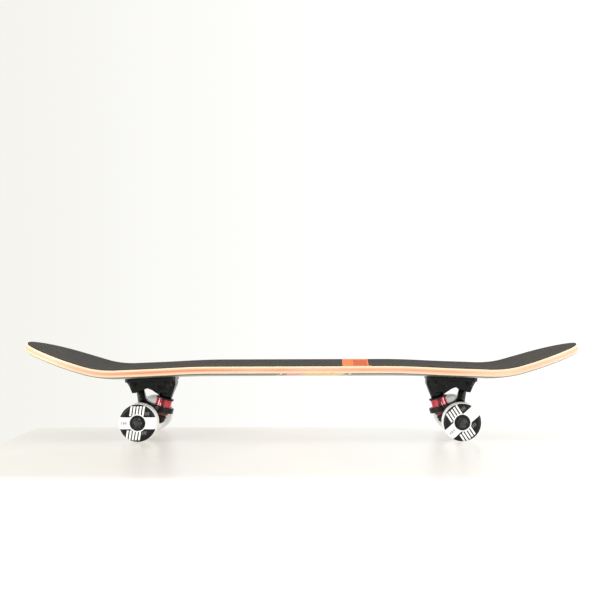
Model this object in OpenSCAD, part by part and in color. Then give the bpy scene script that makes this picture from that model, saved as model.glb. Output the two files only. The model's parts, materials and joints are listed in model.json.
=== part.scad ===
// Skateboard: seven-ply maple deck with kicked nose and tail, two cast trucks on
// tilted kingpins with bushings, and four urethane wheels on ball bearings.
// X runs along the board, nose at -X. Y runs across it. Z is up, floor at Z = 0.

/* [Deck] */
// Overall length of the deck
deck_l = 808; // [760:1:860]
// Overall width of the deck
deck_w = 203; // [190:1:220]
// Thickness of the seven glued plies
deck_t = 11; // [9:0.5:13]
// Half-length of the level middle of the deck
level_half = 120; // [60:1:140]
// Downward slope of the deck over each truck, in degrees
truck_slope = 2.2; // [0.5:0.1:4]
// Where the nose starts to bend up, from the middle of the board
nose_bend_x = 256; // [254:1:275]
// Bend radius of the nose along the top
nose_bend_r = 120; // [60:1:180]
// Rise angle of the nose
nose_angle = 19.5; // [10:0.5:24]
// Where the tail starts to bend up, from the middle of the board
tail_bend_x = 261; // [254:1:280]
// Bend radius of the tail along the top
tail_bend_r = 130; // [60:1:180]
// Rise angle of the tail
tail_angle = 18.5; // [10:0.5:24]
// Where the sides start to curve into the rounded ends, from the middle
round_x = 308; // [280:1:340]
// Half-width of the flat strip along the centre line
flat_half = 28; // [28:1:45]
// Rise of the edges above the centre line in the middle of the board
dish_mid = 6.2; // [0:0.1:10]
// Rise of the edges above the centre line over the trucks
dish_truck = 5.2; // [0:0.1:9]
// Rise of the edges above the centre line at nose and tail
dish_tip = 2.2; // [0:0.1:6]

/* [Grip] */
// Thickness of the grip sheets
grip_t = 0.8; // [0.5:0.1:1.5]
// Place of the coloured band's nose-side edge, from the middle
band_x = 61; // [20:1:100]
// Width of the coloured band along the board
band_w = 39; // [10:1:60]

/* [Trucks] */
// Distance between the two axles
axle_gap = 453; // [430:1:480]
// Height of the mounting face above the axle centre
truck_h = 59.5; // [58.5:0.1:72]
// Length of the baseplate along the board
plate_l = 74; // [72:1:80]
// Width of the baseplate across the board
plate_w = 55; // [52:1:56]
// Thickness of the baseplate flange
plate_t = 6; // [4:0.5:8]
// Offset of the baseplate's middle from the axle, inwards
plate_x = 7.7; // [6:0.1:12]
// Bolt spacing along the board
bolt_gap_x = 53.5; // [50:0.1:56]
// Bolt spacing across the board
bolt_gap_y = 41.3; // [38:0.1:43]
// Diameter of the mounting bolts
bolt_d = 4.8; // [4:0.1:5.5]
// Offset of the pivot centre from the axle, outwards
pivot_x = 15.5; // [14:0.1:17]
// Height of the pivot centre above the axle
pivot_z = 43.5; // [42:0.1:46]
// Diameter of the hanger's pivot pin
pivot_d = 9.5; // [8:0.1:12]
// Wall of the moulded pivot cup
cup_wall = 1.6; // [1:0.1:2.2]
// Offset of the upper bushing washer from the axle, inwards
washer_x = 26.9; // [25:0.1:29]
// Height of the upper bushing washer above the axle
washer_z = 29.2; // [27:0.1:30]
// Tilt of the kingpin from vertical, in degrees
kingpin_tilt = 16; // [12:0.5:20]
// Diameter of the kingpin
kingpin_d = 9.5; // [8:0.1:10]
// Diameter of the deck-side bushing
bushing_d = 23.8; // [20:0.1:24]
// Height of the deck-side bushing
bushing_h = 13.5; // [11:0.1:15]
// Height of the road-side bushing
cone_h = 9.4; // [9:0.1:13]
// Outer diameter of the hanger's ring
ring_d = 34; // [32:0.5:36]
// Thickness of the hanger's ring
ring_t = 8; // [6:0.5:9]
// Depth of the bushing seats in the ring
seat_depth = 1.5; // [1:0.1:2]
// Length across the hanger's two shoulders
hanger_w = 133; // [124:1:140]
// Overall length of the axle
axle_l = 203; // [200:1:210]
// Diameter of the axle
axle_d = 7.94; // [7:0.01:7.98]

/* [Wheels] */
// Diameter of the wheels
wheel_d = 54; // [50:1:60]
// Width of the wheels
wheel_w = 32; // [28:1:36]
// Radius of the wheels' rounded edges
wheel_edge_r = 5; // [2:0.5:7]
// Outer diameter of the bearings
bearing_d = 22; // [21:0.1:24]
// Bore diameter of the bearings
bearing_bore = 8; // [8:0.1:8.4]
// Width of the bearings
bearing_w = 7; // [6.6:0.1:8]
// Length of the spacer between the two bearings of a wheel
spacer_l = 10; // [8:0.5:11]
// Diameter of the bearing balls
ball_d = 3.969; // [3.5:0.001:4]
// Number of balls in a bearing
ball_count = 7; // [5:1:8]

/* [Hidden] */
$fn = 96;
hull_fn = 32;
eps = 0.01;

// Clearances
slip = 0.02;        // turned parts that are pushed together
bolt_play = 0.25;   // round the mounting bolts
pin_play = 0.07;    // hanger's pivot pin in its cup
ball_play = 0.08;   // between a ball and its grooves or pocket
seat_play = 0.4;    // round a bushing in its seat

// Deck
half_l = deck_l / 2;
camber_end = min(nose_bend_x, tail_bend_x, axle_gap / 2 - plate_x - plate_l / 2) - 2;
camber_r = (camber_end - level_half) / sin(truck_slope);
camber_drop = camber_r * (1 - cos(truck_slope));
nose_tip = half_l - deck_t * sin(nose_angle);
tail_tip = half_l - deck_t * sin(tail_angle);
tip_sweep = 87;     // degrees of the rounded end's quarter turn
dish_power = 1.6;
plate_far = axle_gap / 2 - plate_x;

// Truck, measured from the axle centre with X pointing to the board's middle
axle_z = wheel_d / 2;
axle_r = axle_d / 2;
washer_t = 1;
washer_r = bushing_d / 2 + 1.2;
cup_lip = 1.5;
cone_r = bushing_d / 2 - 0.9;
cone_tip_r = 8;
cone_washer_r = 9.3;
ring_top = washer_t + bushing_h - seat_depth;
ring_mid = ring_top + ring_t / 2;
ring_low = ring_top + ring_t;
cone_top = ring_low - seat_depth;
cone_low = cone_top + cone_h;
nut_top = cone_low + washer_t;
kingpin_nut_h = 7.3;
kingpin_nut_af = 14.3;
kingpin_end = nut_top + kingpin_nut_h + 1.5;
kingpin_r = kingpin_d / 2;
kingpin_head_r = 8.2;
kingpin_head_h = 6;
ring_x = washer_x - ring_mid * sin(kingpin_tilt);
ring_z = washer_z - ring_mid * cos(kingpin_tilt);
steer_angle = atan2(pivot_z - ring_z, ring_x + pivot_x);
seat_rise = (washer_x - plate_x) * tan(truck_slope);
seat_lean = cos(kingpin_tilt) - sin(kingpin_tilt) * tan(truck_slope);
seat_reach = (truck_h - washer_z + seat_rise) / seat_lean;
head_drop = kingpin_head_r * tan(kingpin_tilt + truck_slope) + 0.8;
head_top = seat_reach - head_drop;
kingpin_hole_r = kingpin_r + 1.75;
cup_r = pivot_d / 2 + pin_play + cup_wall;
cup_mouth = 4;
shoulder_gap = 1.5;
bolt_r = bolt_d / 2;
bolt_head_r = bolt_d * 0.98;
bolt_head_h = 2.8;
bolt_nut_af = 9.5;
bolt_nut_h = 5;
beam_r = 8.5;
beam_end_r = 7;

// Wheel, measured from the wheel's middle with Z pointing out
bearing_z = (spacer_l + bearing_w) / 2;
bearing_end = spacer_l / 2 + bearing_w;
speed_t = 1;
speed_r = 5.4;
axle_nut_z = bearing_end + speed_t;
axle_nut_h = 6.2;
axle_nut_af = 12.7;
wheel_mid = hanger_w / 2 + speed_t + bearing_end;
ball_r = ball_d / 2;
groove_r = ball_r + ball_play;
pitch_r = (bearing_d + bearing_bore) / 4;
inner_race_r = pitch_r - 1.6;
outer_race_r = pitch_r + 1.6;
shield_t = 0.4;
shield_z = bearing_w / 2 - shield_t - 0.15;
shield_rim = outer_race_r + 0.75;
cage_half = ball_r + 0.5;
cage_wall = 0.5;

// Deck height: the mounting faces of both trucks carry it
seat_drop = camber_drop + (plate_far - camber_end) * tan(truck_slope);
deck_z = axle_z + truck_h + deck_t / cos(truck_slope) + seat_drop;

// ---- Deck surface ----

function smooth(t) = let (c = min(max(t, 0), 1)) c * c * (3 - 2 * c);

// Slope angle of the centre line at distance a from the middle, bend at b with
// radius r, ending at the given rise angle
function line_angle(a, b, r, rise) =
    a <= level_half ? 0 :
    a <= camber_end ? -asin((a - level_half) / camber_r) :
    a <= b ? -truck_slope :
    a < bend_end(b, r, rise) ? asin((a - bend_mid(b, r)) / r) : rise;

// Where the bend is level, and where it ends
function bend_mid(b, r) = b + r * sin(truck_slope);
function bend_end(b, r, rise) = bend_mid(b, r) + r * sin(rise);

// Height of the centre line's arc inside the bend
function bend_height(a, b, r) =
    -camber_drop - (b - camber_end) * tan(truck_slope) + r * cos(truck_slope)
    - sqrt(r * r - pow(a - bend_mid(b, r), 2));

// Height of the centre line against the level middle
function line_height(a, b, r, rise) =
    a <= level_half ? 0 :
    a <= camber_end ? sqrt(camber_r * camber_r - pow(a - level_half, 2)) - camber_r :
    a <= b ? -camber_drop - (a - camber_end) * tan(truck_slope) :
    let (last = bend_end(b, r, rise))
    a <= last ? bend_height(a, b, r) :
    bend_height(last, b, r) + (a - last) * tan(rise);

// Rise of the edge above the centre line at distance a from the middle
function dish(a) =
    let (to_truck = smooth((a - level_half) / (plate_far - level_half)))
    let (to_tip = smooth((a - nose_bend_x) / (half_l - nose_bend_x) * 1.8))
    let (near = dish_mid + (dish_truck - dish_mid) * to_truck)
    near + (dish_tip - near) * to_tip;

// Share of that rise at distance y from the centre line
function dish_share(y) =
    pow(max(0, abs(y) - flat_half) / (deck_w / 2 - flat_half), dish_power);

// Half-width of the outline at distance a from the middle, for a given tip
function half_width(a, tip) =
    let (t = max(0, a - round_x) / (tip - round_x))
    deck_w / 2 * cos(asin(min(1, t) * sin(tip_sweep)));

// A point of the deck's top surface raised by h along the board's normal
function skin_point(x, share, h) =
    let (nose = x < 0)
    let (a = abs(x))
    let (b = nose ? nose_bend_x : tail_bend_x)
    let (r = nose ? nose_bend_r : tail_bend_r)
    let (rise = nose ? nose_angle : tail_angle)
    let (y = share * half_width(a, nose ? nose_tip : tail_tip))
    let (lean = line_angle(a, b, r, rise))
    let (z = line_height(a, b, r, rise) + dish(a) * dish_share(y))
    [(nose ? -1 : 1) * (a - h * sin(lean)), y, deck_z + z + h * cos(lean)];

// Distances from the middle at which cross-sections are taken, past the level part
function half_stations(b, r, rise, tip) = concat(
    [for (i = [1:3]) level_half + (camber_end - level_half) * i / 3],
    [plate_far, b],
    [for (i = [1:6]) bend_mid(b, r) + r * sin(-truck_slope + (rise + truck_slope) * i / 6)],
    let (last = bend_end(b, r, rise))
    last < round_x - 6 ? [round_x] : [],
    [for (i = [1:11]) let (a = round_x + (tip - round_x) * sin(tip_sweep * i / 11) / sin(tip_sweep))
        if (a > bend_end(b, r, rise) + 3) a]);
nose_stations = half_stations(nose_bend_x, nose_bend_r, nose_angle, nose_tip);
tail_stations = half_stations(tail_bend_x, tail_bend_r, tail_angle, tail_tip);
level_stations = [-level_half, -level_half / 2, 0, band_x / 2, band_x, band_x + band_w];
deck_stations = concat(
    [for (i = [len(nose_stations) - 1:-1:0]) -nose_stations[i]],
    level_stations,
    band_x + band_w < level_half - 1 ? [level_half] : [],
    tail_stations);

// Shares of the half-width at which the cross-sections have points
side_shares = [0.14, flat_half / (deck_w / 2), 0.4, 0.52, 0.64, 0.76, 0.86, 0.94, 1];
shares = concat([for (i = [len(side_shares) - 1:-1:0]) -side_shares[i]], [0], side_shares);

// A closed skin between heights low and high above the deck's top surface
module skin(stations, low, high) {
    n = len(shares);
    m = len(stations);
    points = concat(
        [for (x = stations, s = shares) skin_point(x, s, low)],
        [for (x = stations, s = shares) skin_point(x, s, high)]);
    top = m * n;
    faces = concat(
        [for (i = [0:m - 2], j = [0:n - 2])
            each [[i * n + j, (i + 1) * n + j, (i + 1) * n + j + 1],
                [i * n + j, (i + 1) * n + j + 1, i * n + j + 1],
                [top + i * n + j, top + (i + 1) * n + j + 1, top + (i + 1) * n + j],
                [top + i * n + j, top + i * n + j + 1, top + (i + 1) * n + j + 1]]],
        [for (i = [0:m - 2])
            each [[i * n, top + i * n, top + (i + 1) * n],
                [i * n, top + (i + 1) * n, (i + 1) * n],
                [i * n + n - 1, top + (i + 1) * n + n - 1, top + i * n + n - 1],
                [i * n + n - 1, (i + 1) * n + n - 1, top + (i + 1) * n + n - 1]]],
        [for (j = [0:n - 2])
            each [[j, top + j + 1, top + j],
                [j, j + 1, top + j + 1],
                [(m - 1) * n + j, top + (m - 1) * n + j, top + (m - 1) * n + j + 1],
                [(m - 1) * n + j, top + (m - 1) * n + j + 1, (m - 1) * n + j + 1]]]);
    polyhedron(points, faces);
}

// ---- Frames that the parts are built in ----

// Axle centre of the front (-1) or rear (1) truck, X pointing to the board's middle
module at_truck(end) {
    translate([end * axle_gap / 2, 0, axle_z])
        rotate([0, 0, end < 0 ? 0 : 180])
            children();
}

// Middle of the mounting face, Z square to the deck
module at_seat() {
    translate([plate_x, 0, truck_h])
        rotate([0, -truck_slope, 0])
            children();
}

// Upper washer on the kingpin, Z up along the kingpin
module at_kingpin() {
    translate([washer_x, 0, washer_z])
        rotate([0, kingpin_tilt, 0])
            children();
}

// Pivot centre, Z along the steering axis into the cup
module at_pivot() {
    translate([-pivot_x, 0, pivot_z])
        rotate([0, steer_angle - 90, 0])
            children();
}

// Places of the four mounting bolts on the mounting face
module at_bolts() {
    at_seat()
        for (x = [-1, 1], y = [-1, 1])
            translate([x * bolt_gap_x / 2, y * bolt_gap_y / 2, 0])
                children();
}

// Middle of a wheel, Z pointing out; side is -1 for left and 1 for right
module at_wheel(end, side) {
    translate([end * axle_gap / 2, side * wheel_mid, axle_z])
        rotate([-90 * side, 0, 0])
            children();
}

// Both wheels' middles of one truck
module at_both_wheels(end) {
    for (side = [-1, 1])
        at_wheel(end, side)
            children();
}

// Both bearings of one wheel
module at_bearings() {
    for (z = [-bearing_z, bearing_z])
        translate([0, 0, z])
            children();
}

// ---- Shared shapes ----

// Tube standing on Z = z
module tube(inner_r, outer_r, z, h) {
    translate([0, 0, z])
        rotate_extrude()
            translate([inner_r, 0])
                square([outer_r - inner_r, h]);
}

// Rectangle with round corners, centred
module round_rect(l, w, r) {
    square([l - 2 * r, w], center = true);
    square([l, w - 2 * r], center = true);
    for (x = [-1, 1], y = [-1, 1])
        translate([x * (l / 2 - r), y * (w / 2 - r)])
            circle(r);
}

// Hexagonal nut standing on Z = 0, with a round locking collar on top
module lock_nut(across_flats, h, bore_r) {
    flange_h = h * 0.72;
    collar_r = across_flats * 0.46;
    difference() {
        union() {
            cylinder(r = across_flats / sqrt(3), h = flange_h, $fn = 6);
            cylinder(r = collar_r, h = h);
        }
        translate([0, 0, -eps])
            cylinder(r = bore_r, h = h + 2 * eps);
    }
}

// Half-outline of a round-ended cup that opens downwards, its mouth below its centre
module cup_outline(r, mouth) {
    intersection() {
        circle(r);
        square(r);
    }
    translate([0, -mouth])
        square([r, mouth]);
}

// Post standing across the hanger, along Y
module cross_post(x, z, r, l) {
    translate([x, 0, z])
        rotate([90, 0, 0])
            cylinder(r = r, h = l, center = true, $fn = hull_fn);
}

// ---- Deck and grip ----

// Bolt holes with countersinks, from below the baseplate to above the grip
module bolt_holes(r, head_r) {
    for (end = [-1, 1])
        at_truck(end)
            at_bolts() {
                translate([0, 0, -plate_t - 1])
                    cylinder(r = r, h = plate_t + deck_t + grip_t + 2);
                translate([0, 0, deck_t - bolt_head_h])
                    cylinder(r1 = r, r2 = head_r, h = bolt_head_h);
                translate([0, 0, deck_t - eps])
                    cylinder(r = head_r, h = grip_t + 1);
            }
}

module deck() {
    color("burlywood")
        difference() {
            skin(deck_stations, -deck_t, 0);
            bolt_holes(bolt_r + bolt_play, bolt_head_r + bolt_play);
        }
}

// Sheet of grip over the stations between two places along the board
module grip_sheet(from, to) {
    difference() {
        skin([for (x = deck_stations) if (x >= from - eps && x <= to + eps) x], 0, grip_t);
        bolt_holes(bolt_r + bolt_play, bolt_head_r + 2 * bolt_play);
    }
}

module nose_grip() {
    color([0.27, 0.28, 0.26])
        grip_sheet(-half_l, band_x);
}

module grip_band() {
    color([1, 0.55, 0.35])
        skin([band_x, band_x + band_w], 0, grip_t);
}

module tail_grip() {
    color([0.27, 0.28, 0.26])
        grip_sheet(band_x + band_w, half_l);
}

// ---- Truck: fixed half ----

module baseplate(end) {
    boss_l = 28;
    boss_w = 34;
    boss_drop = 12;
    kingpin_boss_r = 9.4;
    pivot_boss_r = cup_r + 1.3;
    rib_w = 7;
    cheek_y = 12.4;
    cheek_t = 3.8;
    // Side view of the cheeks: from the flange round the pivot, over the opening
    // that the hanger's arm passes through, and down to the kingpin boss
    cheek_outline = [[plate_x - plate_l / 2 + 1.5, truck_h - 4],
        [-pivot_x - 4.4, pivot_z - 7.5], [-pivot_x + 1.9, pivot_z - 6.6],
        [-pivot_x + 12.9, pivot_z - 2.7], [-pivot_x + 16.7, pivot_z + 0.1],
        [washer_x - 6.3, washer_z + 7.1], [washer_x + 4, washer_z + 7],
        [washer_x + 12, truck_h - 4]];
    color([0.12, 0.13, 0.12])
        at_truck(end)
            difference() {
                union() {
                    at_seat()
                        translate([0, 0, -plate_t])
                            linear_extrude(plate_t)
                                round_rect(plate_l, plate_w, 7);
                    // Tapered boss round the kingpin
                    hull() {
                        at_seat()
                            translate([plate_l / 2 - boss_l / 2 - 1, 0, -boss_drop / 2])
                                cube([boss_l, boss_w, boss_drop], center = true);
                        at_kingpin()
                            cylinder(r = kingpin_boss_r, h = 3, $fn = hull_fn);
                    }
                    // Tapered boss round the pivot cup
                    hull() {
                        at_pivot() {
                            translate([0, 0, -cup_mouth])
                                cylinder(r = pivot_boss_r, h = cup_mouth, $fn = hull_fn);
                            sphere(r = pivot_boss_r, $fn = hull_fn);
                        }
                        at_seat()
                            translate([-plate_l / 2 + 14, 0, -plate_t / 2 - 1])
                                cube([25, 27, plate_t], center = true);
                    }
                    // Rib that ties the two bosses together
                    hull() {
                        at_seat()
                            translate([-2, 0, -plate_t - 3])
                                cube([16, rib_w, 8], center = true);
                        at_kingpin()
                            translate([-kingpin_boss_r + 2, 0, 7])
                                cube([4, rib_w, 12], center = true);
                    }
                    // Cheeks on both sides of the hanger's arm
                    for (side = [-1, 1])
                        translate([0, side * cheek_y, 0])
                            rotate([90, 0, 0])
                                linear_extrude(cheek_t, center = true)
                                    polygon(cheek_outline);
                }
                at_pivot()
                    rotate_extrude()
                        cup_outline(cup_r + slip, cup_mouth + 12);
                at_kingpin() {
                    translate([0, 0, -1])
                        cylinder(r = kingpin_r + slip, h = seat_reach + 20);
                    translate([0, 0, head_top - kingpin_head_h])
                        cylinder(r = kingpin_head_r + 0.4, h = 30);
                }
                at_bolts()
                    translate([0, 0, -plate_t - 20])
                        cylinder(r = bolt_r + bolt_play, h = plate_t + 21);
                // Flats for the nuts under the flange
                at_bolts()
                    translate([0, 0, -plate_t - 20])
                        cylinder(r = bolt_nut_af / sqrt(3) + 0.6, h = 20);
                // Nothing stands above the mounting face
                at_seat()
                    translate([0, 0, plate_l / 2])
                        cube([2 * plate_l, 2 * plate_w, plate_l], center = true);
            }
}

// Moulded cup that the hanger's pivot pin turns in
module pivot_cup(end) {
    ball_end_r = pivot_d / 2 + pin_play;
    color([0.08, 0.08, 0.08])
        at_truck(end)
            at_pivot()
                rotate_extrude()
                    difference() {
                        cup_outline(cup_r, cup_mouth);
                        cup_outline(ball_end_r, cup_mouth + 1);
                    }
}

module kingpin(end) {
    color([0.35, 0.35, 0.36])
        at_truck(end)
            at_kingpin() {
                translate([0, 0, -kingpin_end])
                    cylinder(r = kingpin_r, h = kingpin_end + head_top - kingpin_head_h);
                translate([0, 0, head_top - kingpin_head_h])
                    cylinder(r = kingpin_head_r, h = kingpin_head_h, $fn = 6);
            }
}

module kingpin_nut(end) {
    color([0.2, 0.2, 0.21])
        at_truck(end)
            at_kingpin()
                translate([0, 0, -nut_top])
                    mirror([0, 0, 1])
                        lock_nut(kingpin_nut_af, kingpin_nut_h, kingpin_r + slip);
}

// Cupped washer between the baseplate and the deck-side bushing
module boardside_washer(end) {
    color([0.1, 0.1, 0.1])
        at_truck(end)
            at_kingpin() {
                tube(kingpin_r + 0.1, washer_r, -washer_t, washer_t);
                tube(bushing_d / 2 + 0.3, washer_r, -washer_t - cup_lip, cup_lip + eps);
            }
}

// Barrel-shaped bushing above the hanger's ring
module boardside_bushing(end) {
    waist = bushing_d / 2 - 0.7;
    color([0.85, 0.1, 0.2])
        at_truck(end)
            at_kingpin()
                translate([0, 0, -washer_t - bushing_h])
                    rotate_extrude()
                        polygon([[kingpin_r + 0.15, 0], [waist, 0],
                            [bushing_d / 2, 2.5], [bushing_d / 2, bushing_h - 2.5],
                            [waist, bushing_h], [kingpin_r + 0.15, bushing_h]]);
}

// Conical bushing below the hanger's ring
module roadside_bushing(end) {
    color([0.6, 0.05, 0.12])
        at_truck(end)
            at_kingpin()
                translate([0, 0, -cone_low])
                    rotate_extrude()
                        polygon([[kingpin_r + 0.15, 0], [cone_tip_r, 0],
                            [cone_r, cone_h - 3], [cone_r, cone_h],
                            [kingpin_r + 0.15, cone_h]]);
}

module roadside_washer(end) {
    color([0.1, 0.1, 0.1])
        at_truck(end)
            at_kingpin() {
                tube(kingpin_r + 0.1, cone_washer_r, -nut_top, washer_t);
                tube(cone_tip_r + 0.5, cone_washer_r, -cone_low - eps, 1 + eps);
            }
}

// Countersunk bolts through deck and baseplate
module mounting_bolts(end) {
    bolt_l = deck_t + plate_t + bolt_nut_h + 2.5;
    color([0.15, 0.15, 0.15])
        at_truck(end)
            at_bolts()
                difference() {
                    union() {
                        translate([0, 0, deck_t - bolt_l])
                            cylinder(r = bolt_r, h = bolt_l - eps);
                        translate([0, 0, deck_t - bolt_head_h])
                            cylinder(r1 = bolt_r, r2 = bolt_head_r, h = bolt_head_h);
                    }
                    for (turn = [0, 90])
                        rotate([0, 0, turn])
                            translate([0, 0, deck_t])
                                cube([4.4, 0.9, 2.4], center = true);
                }
}

module mounting_nuts(end) {
    color([0.15, 0.15, 0.15])
        at_truck(end)
            at_bolts()
                translate([0, 0, -plate_t])
                    mirror([0, 0, 1])
                        lock_nut(bolt_nut_af, bolt_nut_h, bolt_r + slip);
}

// ---- Truck: steering half ----

// Cast hanger: axle beam, ring on the kingpin, and arm up to the pivot pin
module hanger(end) {
    elbow_x = -5.5;
    elbow_z = 20.5;
    elbow_r = 6;
    elbow_w = 18;
    neck_r = pivot_d / 2 + 1.25;
    neck_l = 4;
    // Side view of the hollow curve between the arm and the ring
    fillet_outline = [[elbow_x - 3, elbow_z + 12], [elbow_x + 2.2, elbow_z + 12.5],
        [elbow_x + 4.6, elbow_z + 7.5], [elbow_x + 7.5, elbow_z + 3.8],
        [elbow_x + 11.5, elbow_z + 1.2], [elbow_x + 18, elbow_z - 0.5],
        [elbow_x + 15, elbow_z - 8], [elbow_x, elbow_z - 6]];
    shoulder_t = cup_mouth + shoulder_gap;
    color([0.14, 0.15, 0.14])
        at_truck(end)
            difference() {
                union() {
                    difference() {
                        union() {
                            // Upper arm, from the pivot's shoulder to the elbow
                            hull() {
                                at_pivot()
                                    translate([0, 0, -shoulder_t - neck_l])
                                        cylinder(r = neck_r, h = neck_l, $fn = hull_fn);
                                cross_post(elbow_x, elbow_z, elbow_r, elbow_w);
                            }
                            // Web that spreads from the elbow over the axle beam
                            hull() {
                                cross_post(elbow_x, elbow_z, elbow_r - 1, elbow_w);
                                cross_post(0, 0, beam_end_r - 0.5, hanger_w * 0.72);
                            }
                            // Bridge from the elbow and beam to the ring
                            hull() {
                                cross_post(elbow_x + 3, elbow_z - 4, elbow_r - 1, elbow_w + 8);
                                at_kingpin()
                                    translate([0, 0, -ring_mid])
                                        cylinder(d = ring_d - 2, h = ring_t - 1.5,
                                            center = true, $fn = hull_fn);
                            }
                            rotate([90, 0, 0])
                                linear_extrude(elbow_w - 4, center = true)
                                    polygon(fillet_outline);
                        }
                        // Room for the road-side bushing, its washer and nut
                        at_kingpin()
                            translate([0, 0, -ring_low - 24])
                                cylinder(r1 = 17.5, r2 = 13, h = 24);
                        // Room for the deck-side bushing
                        at_kingpin()
                            translate([0, 0, -ring_top])
                                cylinder(r = washer_r + 0.5, h = 20);
                    }
                    // Axle beam
                    rotate([90, 0, 0])
                        rotate_extrude()
                            for (flip = [0, 1])
                                mirror([0, flip])
                                    polygon([[0, 0], [beam_r, 0], [beam_r, 14],
                                        [beam_end_r, 48], [beam_end_r, hanger_w / 2 - 3],
                                        [beam_end_r - 1.4, hanger_w / 2],
                                        [0, hanger_w / 2]]);
                    // Ring round the kingpin
                    at_kingpin()
                        translate([0, 0, -ring_low])
                            cylinder(d = ring_d, h = ring_t);
                    // Pivot pin with its round end
                    at_pivot()
                        rotate_extrude() {
                            translate([0, -shoulder_t - 3])
                                square([pivot_d / 2, shoulder_t + 3]);
                            intersection() {
                                circle(pivot_d / 2);
                                square(pivot_d);
                            }
                        }
                }
                at_kingpin() {
                    translate([0, 0, -ring_low - 10])
                        cylinder(r = kingpin_hole_r, h = ring_t + 20);
                    translate([0, 0, -ring_top - seat_depth])
                        cylinder(r = bushing_d / 2 + seat_play, h = seat_depth + 10);
                    translate([0, 0, -ring_low - 4])
                        cylinder(r = cone_r + seat_play, h = seat_depth + 4);
                }
                rotate([90, 0, 0])
                    cylinder(r = axle_r + slip, h = hanger_w + 2, center = true);
            }
}

module axle(end) {
    chamfer = 1;
    color([0.5, 0.5, 0.52])
        at_truck(end)
            rotate([90, 0, 0])
                rotate_extrude()
                    for (flip = [0, 1])
                        mirror([0, flip])
                            polygon([[0, 0], [axle_r, 0], [axle_r, axle_l / 2 - chamfer],
                                [axle_r - chamfer, axle_l / 2], [0, axle_l / 2]]);
}

module bearing_inner_races(end) {
    color([0.75, 0.75, 0.77])
        at_both_wheels(end)
            at_bearings()
                rotate_extrude()
                    difference() {
                        translate([bearing_bore / 2, -bearing_w / 2])
                            square([inner_race_r - bearing_bore / 2, bearing_w]);
                        translate([pitch_r, 0])
                            circle(groove_r);
                    }
}

module bearing_spacers(end) {
    color([0.7, 0.7, 0.72])
        at_both_wheels(end)
            tube(bearing_bore / 2, bearing_bore / 2 + 1.4, -spacer_l / 2, spacer_l);
}

module speed_washers(end) {
    color([0.7, 0.7, 0.72])
        at_both_wheels(end)
            for (z = [-bearing_end - speed_t, bearing_end])
                tube(axle_r + 0.06, speed_r, z, speed_t);
}

module axle_nuts(end) {
    color([0.3, 0.3, 0.31])
        at_both_wheels(end)
            translate([0, 0, axle_nut_z])
                lock_nut(axle_nut_af, axle_nut_h, axle_r + slip);
}

// ---- Wheels ----

module wheel(end, side) {
    land_r = bearing_d / 2 - 1.8;
    color([0.96, 0.95, 0.94])
        at_wheel(end, side)
            rotate_extrude()
                difference() {
                    intersection() {
                        round_rect(wheel_d, wheel_w, wheel_edge_r);
                        translate([0, -wheel_w])
                            square([wheel_d, 2 * wheel_w]);
                    }
                    translate([0, -wheel_w])
                        square([land_r, 2 * wheel_w]);
                    for (flip = [0, 1])
                        mirror([0, flip])
                            translate([0, spacer_l / 2])
                                square([bearing_d / 2 + slip / 2, wheel_w]);
                }
}

module bearing_outer_races(end, side) {
    color([0.75, 0.75, 0.77])
        at_wheel(end, side)
            at_bearings()
                rotate_extrude()
                    difference() {
                        translate([outer_race_r, -bearing_w / 2])
                            square([bearing_d / 2 - outer_race_r, bearing_w]);
                        translate([pitch_r, 0])
                            circle(groove_r);
                        for (flip = [0, 1])
                            mirror([0, flip])
                                translate([0, shield_z])
                                    square([shield_rim, bearing_w]);
                    }
}

module bearing_shields(end, side) {
    color([0.1, 0.1, 0.1])
        at_wheel(end, side)
            at_bearings()
                for (flip = [0, 1])
                    mirror([0, 0, flip])
                        tube(inner_race_r + 0.25, shield_rim - slip, shield_z, shield_t);
}

module bearing_balls(end, side) {
    color([0.8, 0.8, 0.82])
        at_wheel(end, side)
            at_bearings()
                for (i = [0:ball_count - 1])
                    rotate([0, 0, i * 360 / ball_count])
                        translate([pitch_r, 0, 0])
                            sphere(ball_r);
}

module bearing_cages(end, side) {
    color([0.3, 0.3, 0.3])
        at_wheel(end, side)
            at_bearings()
                difference() {
                    tube(pitch_r - cage_wall, pitch_r + cage_wall, -cage_half, 2 * cage_half);
                    for (i = [0:ball_count - 1])
                        rotate([0, 90, i * 360 / ball_count])
                            cylinder(r = ball_r + ball_play, h = bearing_d / 2);
                }
}

// ---- What is drawn ----

deck();
nose_grip();
grip_band();
tail_grip();

baseplate(-1);  // front_baseplate
pivot_cup(-1);  // front_pivot_cup
kingpin(-1);  // front_kingpin
kingpin_nut(-1);  // front_kingpin_nut
boardside_washer(-1);  // front_boardside_washer
boardside_bushing(-1);  // front_boardside_bushing
roadside_bushing(-1);  // front_roadside_bushing
roadside_washer(-1);  // front_roadside_washer
mounting_bolts(-1);  // front_mounting_bolts
mounting_nuts(-1);  // front_mounting_nuts
hanger(-1);  // front_hanger
axle(-1);  // front_axle
bearing_inner_races(-1);  // front_bearing_inner_races
bearing_spacers(-1);  // front_bearing_spacers
speed_washers(-1);  // front_speed_washers
axle_nuts(-1);  // front_axle_nuts

baseplate(1);  // rear_baseplate
pivot_cup(1);  // rear_pivot_cup
kingpin(1);  // rear_kingpin
kingpin_nut(1);  // rear_kingpin_nut
boardside_washer(1);  // rear_boardside_washer
boardside_bushing(1);  // rear_boardside_bushing
roadside_bushing(1);  // rear_roadside_bushing
roadside_washer(1);  // rear_roadside_washer
mounting_bolts(1);  // rear_mounting_bolts
mounting_nuts(1);  // rear_mounting_nuts
hanger(1);  // rear_hanger
axle(1);  // rear_axle
bearing_inner_races(1);  // rear_bearing_inner_races
bearing_spacers(1);  // rear_bearing_spacers
speed_washers(1);  // rear_speed_washers
axle_nuts(1);  // rear_axle_nuts

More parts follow.
